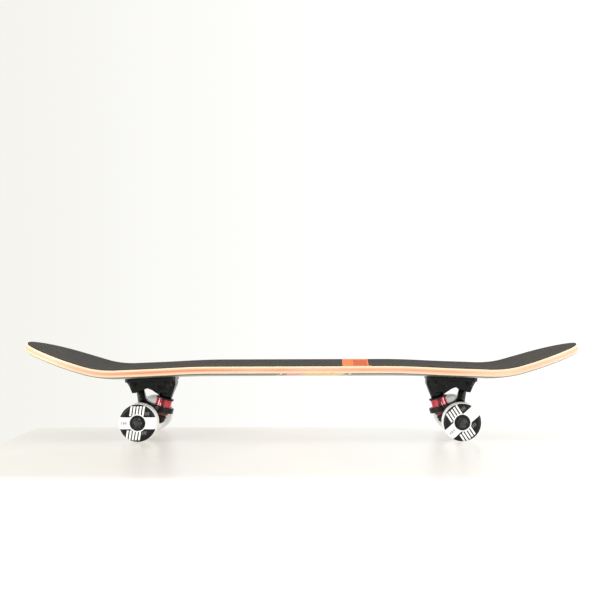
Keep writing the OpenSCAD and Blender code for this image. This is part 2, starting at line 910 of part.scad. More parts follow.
wheel(-1, -1);  // front_left_wheel
bearing_outer_races(-1, -1);  // front_left_bearing_outer_races
bearing_shields(-1, -1);  // front_left_bearing_shields
bearing_balls(-1, -1);  // front_left_bearing_balls
bearing_cages(-1, -1);  // front_left_bearing_cages

wheel(-1, 1);  // front_right_wheel
bearing_outer_races(-1, 1);  // front_right_bearing_outer_races
bearing_shields(-1, 1);  // front_right_bearing_shields
bearing_balls(-1, 1);  // front_right_bearing_balls
bearing_cages(-1, 1);  // front_right_bearing_cages

wheel(1, -1);  // rear_left_wheel
bearing_outer_races(1, -1);  // rear_left_bearing_outer_races
bearing_shields(1, -1);  // rear_left_bearing_shields
bearing_balls(1, -1);  // rear_left_bearing_balls
bearing_cages(1, -1);  // rear_left_bearing_cages

wheel(1, 1);  // rear_right_wheel
bearing_outer_races(1, 1);  // rear_right_bearing_outer_races
bearing_shields(1, 1);  // rear_right_bearing_shields
bearing_balls(1, 1);  // rear_right_bearing_balls
bearing_cages(1, 1);  // rear_right_bearing_cages
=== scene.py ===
import bmesh
import bpy
import json
import math
from mathutils import Matrix, Vector


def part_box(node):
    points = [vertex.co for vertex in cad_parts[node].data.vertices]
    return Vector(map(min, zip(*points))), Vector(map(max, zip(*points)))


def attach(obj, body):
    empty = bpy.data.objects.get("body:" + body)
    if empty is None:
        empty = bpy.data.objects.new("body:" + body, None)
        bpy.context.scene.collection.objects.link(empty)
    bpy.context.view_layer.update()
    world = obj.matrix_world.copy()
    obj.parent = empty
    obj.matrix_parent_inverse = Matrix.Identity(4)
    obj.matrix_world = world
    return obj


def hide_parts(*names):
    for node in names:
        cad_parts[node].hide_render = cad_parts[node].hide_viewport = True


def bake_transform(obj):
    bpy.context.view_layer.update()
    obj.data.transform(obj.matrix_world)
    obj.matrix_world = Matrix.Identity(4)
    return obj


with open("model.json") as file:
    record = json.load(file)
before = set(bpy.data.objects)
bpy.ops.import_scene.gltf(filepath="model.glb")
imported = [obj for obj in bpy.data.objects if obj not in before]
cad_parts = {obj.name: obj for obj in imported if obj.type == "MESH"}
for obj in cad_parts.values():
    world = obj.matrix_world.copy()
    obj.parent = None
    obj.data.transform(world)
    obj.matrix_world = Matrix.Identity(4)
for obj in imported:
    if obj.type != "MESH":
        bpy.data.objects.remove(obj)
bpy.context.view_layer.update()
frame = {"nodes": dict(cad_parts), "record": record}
mm = 0.001
sharpAngle = 35    # edges that turn by more degrees than this stay sharp
bodyOf = {node: body for body, nodes in frame["record"]["behaviour"]["bodies"].items() for node in nodes}
print("frame loaded,", len(frame["nodes"]), "nodes")


# Shader tools

def tint(red, green, blue):
    # a colour as a screen shows it, turned into the linear light that a shader works in
    linear = [((part / 255 + 0.055) / 1.055) ** 2.4 if part > 10 else part / 3295
              for part in (red, green, blue)]
    return (*linear, 1.0)


class Value:
    # a shader socket that can stand in a Python sum
    def __init__(self, paint, socket):
        self.paint = paint
        self.socket = socket

    def out(self, name):
        return Value(self.paint, self.socket.node.outputs[name])

    def __add__(self, other):
        return self.paint.sum("ADD", self, other)

    def __radd__(self, other):
        return self.paint.sum("ADD", other, self)

    def __sub__(self, other):
        return self.paint.sum("SUBTRACT", self, other)

    def __rsub__(self, other):
        return self.paint.sum("SUBTRACT", other, self)

    def __mul__(self, other):
        return self.paint.sum("MULTIPLY", self, other)

    def __rmul__(self, other):
        return self.paint.sum("MULTIPLY", other, self)

    def __truediv__(self, other):
        return self.paint.sum("DIVIDE", self, other)

    def __pow__(self, other):
        return self.paint.sum("POWER", self, other)

    def __abs__(self):
        return self.paint.sum("ABSOLUTE", self)

    def fraction(self):
        return self.paint.sum("FRACT", self)

    def rise(self, low, high):
        # 0 below low and 1 above high, or the other way round where low is the larger
        ends = {"Value": self, "From Min": low, "From Max": high}
        return self.paint.node("ShaderNodeMapRange", {"interpolation_type": "SMOOTHSTEP"}, ends)


class Paint:
    # the nodes of one material, or of the sky
    def __init__(self, name, sky=None):
        self.owner = sky or bpy.data.materials.new(name)
        self.owner.use_nodes = True
        self.tree = self.owner.node_tree
        self.tree.nodes.clear()
        self.place = self.node("ShaderNodeTexCoord", out="Generated" if sky else "Object")

    def node(self, kind, settings=None, sockets=None, out=0):
        made = self.tree.nodes.new(kind)
        for name, value in (settings or {}).items():
            if name == "stops":
                self.fillRamp(made.color_ramp, value)
            else:
                setattr(made, name, value)
        for name, value in (sockets or {}).items():
            if isinstance(value, Value):
                self.tree.links.new(value.socket, made.inputs[name])
            else:
                made.inputs[name].default_value = value
        return Value(self, made.outputs[out]) if made.outputs else None

    def fillRamp(self, ramp, stops):
        while len(ramp.elements) < len(stops):
            ramp.elements.new(1.0)
        for element, (place, colour) in zip(ramp.elements, stops):
            element.position = place
            element.color = colour

    def sum(self, operation, *terms):
        return self.node("ShaderNodeMath", {"operation": operation}, dict(enumerate(terms)))

    def mix(self, share, first, second):
        return self.node("ShaderNodeMix", {"data_type": "RGBA"}, {0: share, 6: first, 7: second}, out=2)

    def axes(self):
        parts = self.node("ShaderNodeSeparateXYZ", {}, {0: self.place})
        return parts.out("X"), parts.out("Y"), parts.out("Z")

    def stretched(self, *shares):
        return self.node("ShaderNodeVectorMath", {"operation": "MULTIPLY"}, {0: self.place, 1: shares})

    def turn(self, degrees):
        # turns everything painted after this round the piece's own Z
        turned = {"Vector": self.place, "Angle": math.radians(-degrees)}
        self.place = self.node("ShaderNodeVectorRotate", {"rotation_type": "Z_AXIS"}, turned)

    def point(self, x, y, z):
        return self.node("ShaderNodeCombineXYZ", {}, {0: x, 1: y, 2: z})

    def noise(self, scale, detail=2.0, at=None):
        sockets = {"Vector": at or self.place, "Scale": scale, "Detail": detail, "Roughness": 0.55}
        return self.node("ShaderNodeTexNoise", {}, sockets)

    def finish(self, colour, roughness, height=None, depth=0.05 * mm, **fixed):
        sockets = {"Base Color": colour, "Roughness": roughness}
        if height:
            bump = {"Strength": 1.0, "Distance": depth, "Height": height}
            sockets["Normal"] = self.node("ShaderNodeBump", {}, bump)
        sockets.update({name.replace("_", " "): value for name, value in fixed.items()})
        shader = self.node("ShaderNodeBsdfPrincipled", {}, sockets)
        self.node("ShaderNodeOutputMaterial", {}, {"Surface": shader})
        return self.owner


# Mesh tools

def newPiece(name, points, faces, material, matrix=None):
    mesh = bpy.data.meshes.new(name)
    mesh.from_pydata(points, [], faces)
    piece = bpy.data.objects.new(name, mesh)
    bpy.context.scene.collection.objects.link(piece)
    if matrix:
        piece.matrix_world = matrix
    mesh.materials.append(material)
    tidyMesh(piece)
    return piece


def tidyMesh(piece):
    # joins doubled points, faces everything outwards, and smooths all but the sharp edges
    work = bmesh.new()
    work.from_mesh(piece.data)
    bmesh.ops.remove_doubles(work, verts=work.verts, dist=1e-6)
    bmesh.ops.dissolve_degenerate(work, edges=work.edges, dist=1e-7)
    bmesh.ops.recalc_face_normals(work, faces=work.faces)
    for face in work.faces:
        face.smooth = True
    for edge in work.edges:
        edge.smooth = len(edge.link_faces) == 2 and edge.calc_face_angle(0) < math.radians(sharpAngle)
    work.to_mesh(piece.data)
    work.free()


def applyModifiers(piece):
    shown = piece.evaluated_get(bpy.context.evaluated_depsgraph_get())
    old = piece.data
    piece.data = bpy.data.meshes.new_from_object(shown)
    piece.modifiers.clear()
    bpy.data.meshes.remove(old)


def solidCopy(node, ending):
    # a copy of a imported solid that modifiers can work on
    piece = bpy.data.objects.new(node + ending, frame["nodes"][node].data.copy())
    bpy.context.scene.collection.objects.link(piece)
    piece.data.materials.clear()
    tidyMesh(piece)
    return piece


def standIn(piece, node, material):
    # finishes such a copy, which then stands for its node
    applyModifiers(piece)
    piece.data.materials.append(material)
    for face in piece.data.polygons:
        face.use_smooth = True
        face.material_index = 0
    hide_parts(node)
    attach(piece, bodyOf[node])


def arc(midR, midZ, sizeR, sizeZ, start, stop, steps=8):
    angles = [math.radians(start + (stop - start) * i / steps) for i in range(steps + 1)]
    return [(midR + sizeR * math.cos(a), midZ + sizeZ * math.sin(a)) for a in angles]


def turned(name, profile, material, slot, matrix=None, bored=True, segments=96):
    # turns an outline of (radius, height) pairs round Z; a bored outline closes on itself
    rows = len(profile)
    turns = [2 * math.pi * i / segments for i in range(segments)]
    points = [(r * math.cos(t), r * math.sin(t), z) for t in turns for r, z in profile]
    faces = []
    for i in range(segments):
        here, there = i * rows, (i + 1) % segments * rows
        for j in range(rows if bored else rows - 1):
            k = (j + 1) % rows
            faces.append((here + j, there + j, there + k, here + k))
    return newPiece(name, points, faces, material, matrix)


# Deck shape, the same rules as the solid deck follows

deckShape = {
    "halfLength": 404 * mm,
    "halfWidth": 101.5 * mm,
    "thick": 11 * mm,
    "levelHalf": 120 * mm,
    "truckSlope": math.radians(2.2),
    "noseBend": 256 * mm, "noseRadius": 120 * mm, "noseRise": math.radians(19.5),
    "tailBend": 261 * mm, "tailRadius": 130 * mm, "tailRise": math.radians(18.5),
    "roundFrom": 308 * mm,
    "flatHalf": 28 * mm,
    "dishMiddle": 6.2 * mm, "dishTruck": 5.2 * mm, "dishTip": 2.2 * mm, "dishPower": 1.6,
    "topEdge": 1.3 * mm,       # radius of the edge under the grip
    "bottomEdge": 3.2 * mm,    # radius of the edge underneath
    "rowGap": 5 * mm,
    "columns": 34,
}
truckShape = {
    "plateOffset": 7.7 * mm, "plateLength": 74 * mm, "mountHeight": 59.5 * mm,
    "washerOffset": 26.9 * mm, "washerHeight": 29.2 * mm, "kingpinTilt": math.radians(16),
    "boltGapX": 53.5 * mm, "boltGapY": 41.3 * mm,
    "boltRadius": 2.65 * mm, "headRadius": 4.95 * mm, "headHeight": 2.8 * mm,
}
bandCuts = [61.0, 100.0]    # where the grip changes colour along the board, in millimetres


def middle(node):
    low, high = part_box(node)
    return (low + high) / 2


axles = {-1: middle("front_axle"), 1: middle("rear_axle")}
plateFar = axles[1].x - truckShape["plateOffset"]
camberEnd = plateFar - truckShape["plateLength"] / 2 - 2 * mm
camberRadius = (camberEnd - deckShape["levelHalf"]) / math.sin(deckShape["truckSlope"])
camberDrop = camberRadius * (1 - math.cos(deckShape["truckSlope"]))
seatDrop = camberDrop + (plateFar - camberEnd) * math.tan(deckShape["truckSlope"])
deckHeight = (axles[1].z + truckShape["mountHeight"] + seatDrop
              + deckShape["thick"] / math.cos(deckShape["truckSlope"]))


def smooth(t):
    t = min(max(t, 0), 1)
    return t * t * (3 - 2 * t)


def endValues(x):
    kind = "nose" if x < 0 else "tail"
    return deckShape[kind + "Bend"], deckShape[kind + "Radius"], deckShape[kind + "Rise"]


def tipReach(x):
    return deckShape["halfLength"] - deckShape["thick"] * math.sin(endValues(x)[2])


def deckLine(x):
    # height and slope of the centre line against the level middle
    a, level, slope = abs(x), deckShape["levelHalf"], deckShape["truckSlope"]
    bend, radius, rise = endValues(x)
    if a <= level:
        return 0, 0
    if a <= camberEnd:
        lean = math.asin((a - level) / camberRadius)
        return camberRadius * (math.cos(lean) - 1), -lean
    if a <= bend:
        return -camberDrop - (a - camberEnd) * math.tan(slope), -slope
    bendMiddle = bend + radius * math.sin(slope)
    bendStop = bendMiddle + radius * math.sin(rise)
    lean = math.asin((min(a, bendStop) - bendMiddle) / radius)
    start = -camberDrop - (bend - camberEnd) * math.tan(slope)
    height = start + radius * (math.cos(slope) - math.cos(lean))
    return height + max(0, a - bendStop) * math.tan(rise), lean


def skinPoint(x, y, raised):
    # a point over (x, y), raised square to the board from its top surface
    a = abs(x)
    height, lean = deckLine(x)
    level, bend = deckShape["levelHalf"], deckShape["noseBend"]
    near = deckShape["dishMiddle"]
    near += (deckShape["dishTruck"] - near) * smooth((a - level) / (plateFar - level))
    toTip = smooth((a - bend) / (deckShape["halfLength"] - bend) * 1.8)
    dish = near + (deckShape["dishTip"] - near) * toTip
    across = max(0, abs(y) - deckShape["flatHalf"]) / (deckShape["halfWidth"] - deckShape["flatHalf"])
    z = deckHeight + height + dish * across ** deckShape["dishPower"] + raised * math.cos(lean)
    return math.copysign(a - raised * math.sin(lean), x), y, z


def outlineRows(start, stop):
    # (x, half-width, outward normal) of the outline, from one place along the board to another
    rows = []
    roundFrom, halfWidth = deckShape["roundFrom"], deckShape["halfWidth"]
    for end in (-1, 1):
        sweep = tipReach(end) - roundFrom
        for i in range(1, 37):
            t = math.radians(90 * i / 36)
            normal = Vector((halfWidth * math.sin(t) * end, sweep * math.cos(t))).normalized()
            rows.append((end * (roundFrom + sweep * math.sin(t)), halfWidth * math.cos(t), normal))
    steps = round(2 * roundFrom / deckShape["rowGap"])
    straight = {round((-roundFrom + 2 * roundFrom * i / steps) / mm, 2) for i in range(steps + 1)}
    keep = [place for place in straight if min(abs(place - cut) for cut in bandCuts) > 1.5]
    rows += [(place * mm, halfWidth, Vector((0, 1))) for place in keep + bandCuts]
    return sorted((row for row in rows if start <= row[0] <= stop), key=lambda row: row[0])


def deckSkin(name, start, stop, rim, material):
    # a closed skin over the outline; rim lists (inset, height) down the side, from top to bottom
    rows = outlineRows(start, stop)
    columns = deckShape["columns"]
    points, depths = [], []
    for x, halfWidth, normal in rows:
        ring = []
        for side, (inset, raised) in [(1, rim[0]), (-1, rim[-1])]:
            edge = halfWidth - inset * normal.y
            for j in range(columns + 1):
                ring.append((x - inset * normal.x, side * edge * (1 - 2 * j / columns), raised))
            if side > 0:
                lowering = [(-1, step) for step in rim[1:-1]]
                ring += [(x - i * normal.x, s * (halfWidth - i * normal.y), h) for s, (i, h) in lowering]
        lifting = [(1, step) for step in reversed(rim[1:-1])]
        ring += [(x - i * normal.x, s * (halfWidth - i * normal.y), h) for s, (i, h) in lifting]
        points += [skinPoint(*corner) for corner in ring]
        depths += [-corner[2] / deckShape["thick"] for corner in ring]
    size = len(points) // len(rows)
    faces = [(i * size + j, i * size + (j + 1) % size, (i + 1) * size + (j + 1) % size, (i + 1) * size + j)
             for i in range(len(rows) - 1) for j in range(size)]
    faces += [tuple(range(size)), tuple(range(len(points) - size, len(points)))]
    mesh = bpy.data.meshes.new(name)
    mesh.from_pydata(points, [], faces)
    mesh.attributes.new("depth", "FLOAT", "POINT").data.foreach_set("value", depths)
    piece = bpy.data.objects.new(name, mesh)
    bpy.context.scene.collection.objects.link(piece)
    mesh.materials.append(material)
    tidyMesh(piece)
    return piece


def truckPlace(end):
    return Matrix.Translation(axles[end]) @ Matrix.Rotation(0 if end < 0 else math.pi, 4, "Z")


def boltPlaces(end):
    seat = truckPlace(end) @ Matrix.Translation((truckShape["plateOffset"], 0, truckShape["mountHeight"]))
    seat = seat @ Matrix.Rotation(-deckShape["truckSlope"], 4, "Y")
    halfX, halfY = truckShape["boltGapX"] / 2, truckShape["boltGapY"] / 2
    return [seat @ Matrix.Translation((x, y, 0)) for x in (-halfX, halfX) for y in (-halfY, halfY)]


def drill(piece, ends, profile):
    # cuts a turned shape out of the piece at each mounting bolt
    cutters = [turned("cutter", profile, None, None, place, bored=False, segments=40)
               for end in ends for place in boltPlaces(end)]
    for cutter in cutters:
        cut = piece.modifiers.new("hole", "BOOLEAN")
        cut.operation = "DIFFERENCE"
        cut.solver = "EXACT"
        cut.object = cutter
    applyModifiers(piece)
    for cutter in cutters:
        bpy.data.objects.remove(cutter)
    tidyMesh(piece)


# Maple deck

plies = {
    "stack": [(240, 216, 184), (248, 202, 164), (228, 154, 116), (212, 136, 102),
              (240, 178, 142), (250, 214, 182), (232, 200, 170)],
    "wander": 0.05,                # how unevenly a ply runs, as a share of the board's thickness
    "paler": (246, 214, 184),      # what the plies fade to towards the ends
    "paleFrom": 0.21, "paleTo": 0.34, "paleShare": 0.55, "driftShare": 0.45,
    "glueLine": (166, 84, 56), "glueShare": 0.65,
    "light": (250, 226, 204), "lightShare": 0.25, "darkShare": 0.35,
    "knot": (110, 56, 36), "knotShare": 0.7,
    "roughness": 0.52, "paintedRoughness": 0.27, "grainRoughness": 0.15, "relief": 0.06 * mm,
    "underside": (74, 80, 66),
    "undersideEnds": (112, 116, 100), "endsFrom": 0.17, "endsTo": 0.30,
    "paintFrom": 0.90, "paintTo": 0.93,    # depth in the board where the paint begins
    "firstStripe": (238, 150, 150), "firstFrom": -42 * mm, "firstTo": -19 * mm,
    "secondStripe": (240, 206, 96), "secondTo": 38 * mm,
    "stripeLean": 0.25,
    "pinstripe": (228, 222, 200), "pinstripesAt": (46 * mm, -50 * mm), "pinstripeHalf": 1.3 * mm,
    "paintEdge": 0.5 * mm,         # how softly one colour of paint ends
    "veneerDark": (30, 30, 26),
}


def maplePaint():
    paint = Paint("maplePlies")
    x, y, z = paint.axes()
    depth = paint.node("ShaderNodeAttribute", {"attribute_name": "depth"}, out="Fac")
    wander = paint.noise(9, 3, paint.point(x, y, 0.3))
    layer = depth + (wander - 0.5) * plies["wander"]
    count = len(plies["stack"])
    stops = [(i / count, tint(*colour)) for i, colour in enumerate(plies["stack"])]
    wood = paint.node("ShaderNodeValToRGB", {"stops": stops}, {0: layer})
    wood.socket.node.color_ramp.interpolation = "CONSTANT"
    # the ends of the board show paler veneers
    ends = abs(x).rise(plies["paleFrom"], plies["paleTo"]) * plies["paleShare"]
    drift = paint.noise(5, 2, paint.point(x, y, 0.0)).rise(0.45, 0.68) * plies["driftShare"]
    wood = paint.mix(ends + drift, wood, tint(*plies["paler"]))
    # glue lines between the veneers
    across = (layer * count).fraction()
    glue = (across.rise(0.10, 0.0) + across.rise(0.90, 1.0)) * layer.rise(0.22, 0.27) * layer.rise(0.76, 0.70)
    wood = paint.mix(glue * plies["glueShare"], wood, tint(*plies["glueLine"]))
    # grain that runs along the board, and a few small dark knots
    grain = paint.noise(1, 4, paint.point(x * 70, y * 70, depth * 26))
    wood = paint.mix(grain.rise(0.5, 0.85) * plies["darkShare"], wood, tint(*plies["glueLine"]))
    wood = paint.mix(grain.rise(0.45, 0.2) * plies["lightShare"], wood, tint(*plies["light"]))
    knots = paint.noise(1, 1, paint.point(x * 45 + 3, y * 12, depth * 9)).rise(0.74, 0.80)
    wood = paint.mix(knots * plies["knotShare"], wood, tint(*plies["knot"]))
    # painted underside, with two plain leaning stripes and their borders
    lean = x + y * plies["stripeLean"]
    toEnds = abs(x).rise(plies["endsFrom"], plies["endsTo"])
    paintwork = paint.mix(toEnds, tint(*plies["underside"]), tint(*plies["undersideEnds"]))
    edge, half = plies["paintEdge"], plies["pinstripeHalf"]
    first = lean.rise(plies["firstFrom"], plies["firstFrom"] + edge)
    first *= lean.rise(plies["firstTo"] + edge, plies["firstTo"])
    second = lean.rise(plies["firstTo"], plies["firstTo"] + edge)
    second *= lean.rise(plies["secondTo"] + edge, plies["secondTo"])
    borders = [abs(lean - place).rise(half + 0.3 * mm, half) for place in plies["pinstripesAt"]]
    paintwork = paint.mix(first, paintwork, tint(*plies["firstStripe"]))
    paintwork = paint.mix(second, paintwork, tint(*plies["secondStripe"]))
    paintwork = paint.mix(borders[0] + borders[1], paintwork, tint(*plies["pinstripe"]))
    veneer = paint.noise(1, 5, paint.point(x * 12, y * 260, 0.0))
    paintwork = paint.mix(veneer.rise(0.5, 0.8) * 0.18, paintwork, tint(*plies["veneerDark"]))
    painted = (depth + (paint.noise(60, 2) - 0.5) * 0.03).rise(plies["paintFrom"], plies["paintTo"])
    colour = paint.mix(painted, wood, paintwork)
    smoother = plies["roughness"] - plies["paintedRoughness"]
    roughness = plies["roughness"] - painted * smoother + (grain - 0.5) * plies["grainRoughness"]
    return paint.finish(colour, roughness, grain * 0.6 + veneer * 0.4, plies["relief"])


def deckRim():
    # (inset, height) from the top, round the top edge, down the side and round the bottom edge
    top, bottom, thick = deckShape["topEdge"], deckShape["bottomEdge"], deckShape["thick"]
    upper = [(top - r, z) for r, z in arc(0, -top, top, top, 90, 0, 5)]
    lower = [(bottom - r, z) for r, z in arc(0, bottom - thick, bottom, bottom, 0, -90, 7)]
    side = [(0, -top + (bottom - thick + top) * i / 6) for i in range(1, 6)]
    return upper + side + lower


deck = deckSkin("deck_plies", -1, 1, deckRim(), maplePaint())
boltRadius, headRadius = truckShape["boltRadius"], truckShape["headRadius"]
headFoot = deckShape["thick"] - truckShape["headHeight"]
cutLow, cutHigh = -2 * mm, 20 * mm    # how far the cutters reach past the board
holeProfile = [(0, cutLow), (boltRadius, cutLow), (boltRadius, headFoot),
               (headRadius, deckShape["thick"]), (headRadius, cutHigh), (0, cutHigh)]
drill(deck, (-1, 1), holeProfile)
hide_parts("deck")
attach(deck, "root")
print("deck made,", len(deck.data.polygons), "faces")


# Grip sheets

gritLook = {
    "black": {"base": (40, 37, 32), "grain": (84, 78, 68), "dust": (60, 54, 45)},
    "orange": {"base": (246, 116, 66), "grain": (252, 158, 112), "dust": (238, 106, 58)},
    "grainScale": 1900,     # grains per metre
    "dustScale": 14, "dustShare": 0.35,
    "roughness": 0.86, "grainRoughness": 0.16, "relief": 0.22 * mm, "shine": 0.25,
    "thick": 0.78 * mm,
    "edgeInset": 0.55 * mm,
    "headGap": 0.25 * mm,   # between the grip and a bolt's head
    "marked": (128, 62, 36),
    "markFrom": 77 * mm, "markTo": 98.4 * mm, "markHalf": 93 * mm, "markPitch": 5 * mm,
}


def gritPaint(name, look, marks=False):
    paint = Paint(name)
    x, y, z = paint.axes()
    grit = paint.noise(gritLook["grainScale"], 2)
    coarse = paint.noise(gritLook["grainScale"] / 5, 2)
    colour = paint.mix(grit.rise(0.52, 0.72), tint(*look["base"]), tint(*look["grain"]))
    dust = paint.noise(gritLook["dustScale"], 4).rise(0.42, 0.72) * gritLook["dustShare"]
    colour = paint.mix(dust, colour, tint(*look["dust"]))
    if marks:
        # a plain block of slanted strokes stands on the band
        block = x.rise(gritLook["markFrom"], gritLook["markFrom"] + 0.3 * mm)
        block *= x.rise(gritLook["markTo"] + 0.3 * mm, gritLook["markTo"])
        block *= abs(y).rise(gritLook["markHalf"] + 0.3 * mm, gritLook["markHalf"])
        stroke = ((y + x * 0.5) / gritLook["markPitch"]).fraction()
        strokes = stroke.rise(0.08, 0.14) * stroke.rise(0.76, 0.70)
        colour = paint.mix(block * strokes, colour, tint(*gritLook["marked"]))
    roughness = gritLook["roughness"] - coarse * gritLook["grainRoughness"]
    return paint.finish(colour, roughness, grit + coarse * 0.5, gritLook["relief"],
                        Specular_IOR_Level=gritLook["shine"])


def gripRim():
    thick, inset = gritLook["thick"], gritLook["edgeInset"]
    return [(inset + 0.45 * mm, thick), (inset + 0.15 * mm, thick - 0.12 * mm), (inset, thick - 0.4 * mm),
            (inset, -0.2 * mm), (inset + 0.8 * mm, -0.02 * mm)]


blackGrip = gritPaint("blackGrit", gritLook["black"])
orangeGrip = gritPaint("orangeGrit", gritLook["orange"], marks=True)
cutA, cutB = (cut * mm for cut in bandCuts)
gripParts = {
    "nose_grip": (-1, cutA + 1e-6, blackGrip, "grip_black", (-1,)),
    "grip_band": (cutA - 1e-6, cutB + 1e-6, orangeGrip, "grip_orange", ()),
    "tail_grip": (cutB - 1e-6, 1, blackGrip, "grip_black", (1,)),
}
gripHoleRadius = headRadius + gritLook["headGap"]
gripHole = [(0, cutLow), (gripHoleRadius, cutLow), (gripHoleRadius, cutHigh), (0, cutHigh)]
for node, (start, stop, material, slot, ends) in gripParts.items():
    sheet = deckSkin(node + "_sheet", start, stop, gripRim(), material)
    if ends:
        drill(sheet, ends, gripHole)
    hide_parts(node)
    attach(sheet, "root")
print("grip sheets made")


# Truck castings

castings = {
    "voxel": 0.7 * mm,
    "smoothing": 7,
    "black": (3, 4, 3),
    "sheen": (11, 13, 10),
    "skinScale": 900, "patchScale": 45,
    "roughness": 0.24, "patchRoughness": 0.14, "relief": 0.05 * mm, "shine": 0.36,
}


def castPaint():
    paint = Paint("blackCasting")
    skin = paint.noise(castings["skinScale"], 3)
    patches = paint.noise(castings["patchScale"], 3)
    colour = paint.mix(patches.rise(0.4, 0.75), tint(*castings["black"]), tint(*castings["sheen"]))
    roughness = castings["roughness"] + patches * castings["patchRoughness"]
    return paint.finish(colour, roughness, skin, castings["relief"], Specular_IOR_Level=castings["shine"])


def castCopy(node, material):
    # the solid's own shape with the soft edges of a casting
    piece = solidCopy(node, "_casting")
    skin = piece.modifiers.new("skin", "REMESH")
    skin.mode = "VOXEL"
    skin.voxel_size = castings["voxel"]
    rounding = piece.modifiers.new("rounding", "SMOOTH")
    rounding.factor = 0.5
    rounding.iterations = castings["smoothing"]
    standIn(piece, node, material)


blackCasting = castPaint()
for truck in ("front", "rear"):
    castCopy(truck + "_baseplate", blackCasting)
    castCopy(truck + "_hanger", blackCasting)
print("castings made")


# Bushings

bushing = {
    "barrelRadius": 11.9 * mm, "barrelHeight": 13.5 * mm, "waist": 0.55 * mm,
    "coneRadius": 11.0 * mm, "coneTip": 8 * mm, "coneHeight": 9.4 * mm,
    "bore": 5.1 * mm, "edge": 1.1 * mm, "washer": 1 * mm,
    "ringTop": 13 * mm, "ringLow": 21 * mm, "seat": 1.5 * mm,
    "bright": (206, 14, 40), "brightGlow": (236, 34, 62),
    # painted shade: the colour, width and strength of the dark stripe that stands for the kingpin seen
    # through the urethane
    "core": (84, 8, 18), "coreHalf": 3.6 * mm, "coreSolid": 1.4 * mm, "coreShare": 0.85,
    "deep": (78, 6, 14), "deepGlow": (112, 12, 24),
    "roughness": 0.10, "smearRoughness": 0.08, "relief": 0.01 * mm,
    "shine": 0.9, "clear": 0.2, "clearDepth": 2 * mm,
}


def urethanePaint(name, base, glow):
    # clear red, with a painted dark stripe of shade where the kingpin would show through
    paint = Paint(name)
    cloud = paint.noise(160, 3)
    colour = paint.mix(cloud.rise(0.35, 0.75), tint(*base), tint(*glow))
    x, y, z = paint.axes()
    # painted shade: a dark stripe along the kingpin's line, standing for the kingpin seen through the clear
    # urethane
    rise = z - (axles[1].z + truckShape["washerHeight"])
    core = axles[1].x - truckShape["washerOffset"] - rise * math.tan(truckShape["kingpinTilt"])
    stripe = abs(abs(x) - core).rise(bushing["coreHalf"], bushing["coreSolid"]) * bushing["coreShare"]
    colour = paint.mix(stripe, colour, tint(*bushing["core"]))
    roughness = bushing["roughness"] + paint.noise(420, 2) * bushing["smearRoughness"]
    return paint.finish(colour, roughness, paint.noise(500, 2), bushing["relief"],
                        Specular_IOR_Level=bushing["shine"], Subsurface_Weight=bushing["clear"],
                        Subsurface_Scale=bushing["clearDepth"])


def barrelProfile():
    r, h, e = bushing["barrelRadius"], bushing["barrelHeight"], bushing["edge"]
    low = -bushing["washer"] - h
    foot = arc(r - e, low + e, e, e, -90, 0, 5)
    belly = [(r - bushing["waist"] * math.sin(math.pi * i / 8), low + e + (h - 2 * e) * i / 8)
             for i in range(1, 8)]
    head = arc(r - e, low + h - e, e, e, 0, 90, 5)
    return [(bushing["bore"], low)] + foot + belly + head + [(bushing["bore"], low + h)]


def coneProfile():
    r, tip, h, e = bushing["coneRadius"], bushing["coneTip"], bushing["coneHeight"], bushing["edge"]
    top = -bushing["ringLow"] + bushing["seat"]
    foot = arc(tip - e, top - h + e, e, e, -90, -10, 5)
    side = [(tip + (r - tip) * smooth(i / 6), top - h + e + (h - 4 * e) * i / 6) for i in range(1, 7)]
    head = arc(r - e, top - e, e, e, 0, 90, 5)
    return [(bushing["bore"], top - h)] + foot + side + head + [(bushing["bore"], top)]


def kingpinPlace(end):
    washer = Matrix.Translation((truckShape["washerOffset"], 0, truckShape["washerHeight"]))
    return truckPlace(end) @ washer @ Matrix.Rotation(truckShape["kingpinTilt"], 4, "Y")


brightRed = urethanePaint("brightUrethane", bushing["bright"], bushing["brightGlow"])
deepRed = urethanePaint("deepUrethane", bushing["deep"], bushing["deepGlow"])
for end, truck in ((-1, "front"), (1, "rear")):
    place = kingpinPlace(end)
    barrel = turned(truck + "_barrel_bushing", barrelProfile(), brightRed, "bushing_red", place)
    cone = turned(truck + "_cone_bushing", coneProfile(), deepRed, "bushing_dark_red", place)
    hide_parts(truck + "_boardside_bushing")
    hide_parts(truck + "_roadside_bushing")
    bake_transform(barrel)
    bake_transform(cone)
print("bushings made")


# Wheels

wheel = {
    "radius": 27 * mm, "halfWidth": 16 * mm,
    "treadHalf": 10 * mm, "shoulder": 5.6 * mm,
    "seatRadius": 11.02 * mm, "seatFrom": 5 * mm, "landRadius": 9.2 * mm,
    "white": (247, 246, 243), "cloud": (238, 236, 230),
    "print": (9, 9, 9), "faint": (120, 120, 118),
    "printInner": 12.4 * mm, "printOuter": 26.1 * mm, "bandHalf": 8.1 * mm,
    "strokeFrom": -13.2 * mm, "strokeTo": 7.8 * mm, "strokePitch": 4.4 * mm,
    "strokeLow": 10.0 * mm, "strokeHigh": 23.6 * mm, "strokeLean": 0.16,
    "printDepth": 8 * mm,          # the print is on the face outside this
    "dashPitch": 2.2 * mm, "dashFrom": 8.6 * mm, "dashTo": 15.2 * mm,
    "dashAt": 13.4 * mm, "dashHalf": 2.2 * mm,
    "tickPitch": 3.4 * mm, "tickAt": -19.2 * mm, "tickHalfLong": 3.8 * mm, "tickHalf": 1.6 * mm,
    # outward face, as steps out from the seat and down from the face
    "faceSteps": [(0, 1), (0.35, 0.5), (1.28, 0.45), (1.58, 0.75), (3.98, 0.8), (7.48, 0.35)],
    "roughness": 0.40, "cloudRoughness": 0.12, "relief": 0.05 * mm, "shine": 0.3,
    "segments": 144,
    "spins": {"front_left": 0, "rear_left": 42, "front_right": 17, "rear_right": -63},
}


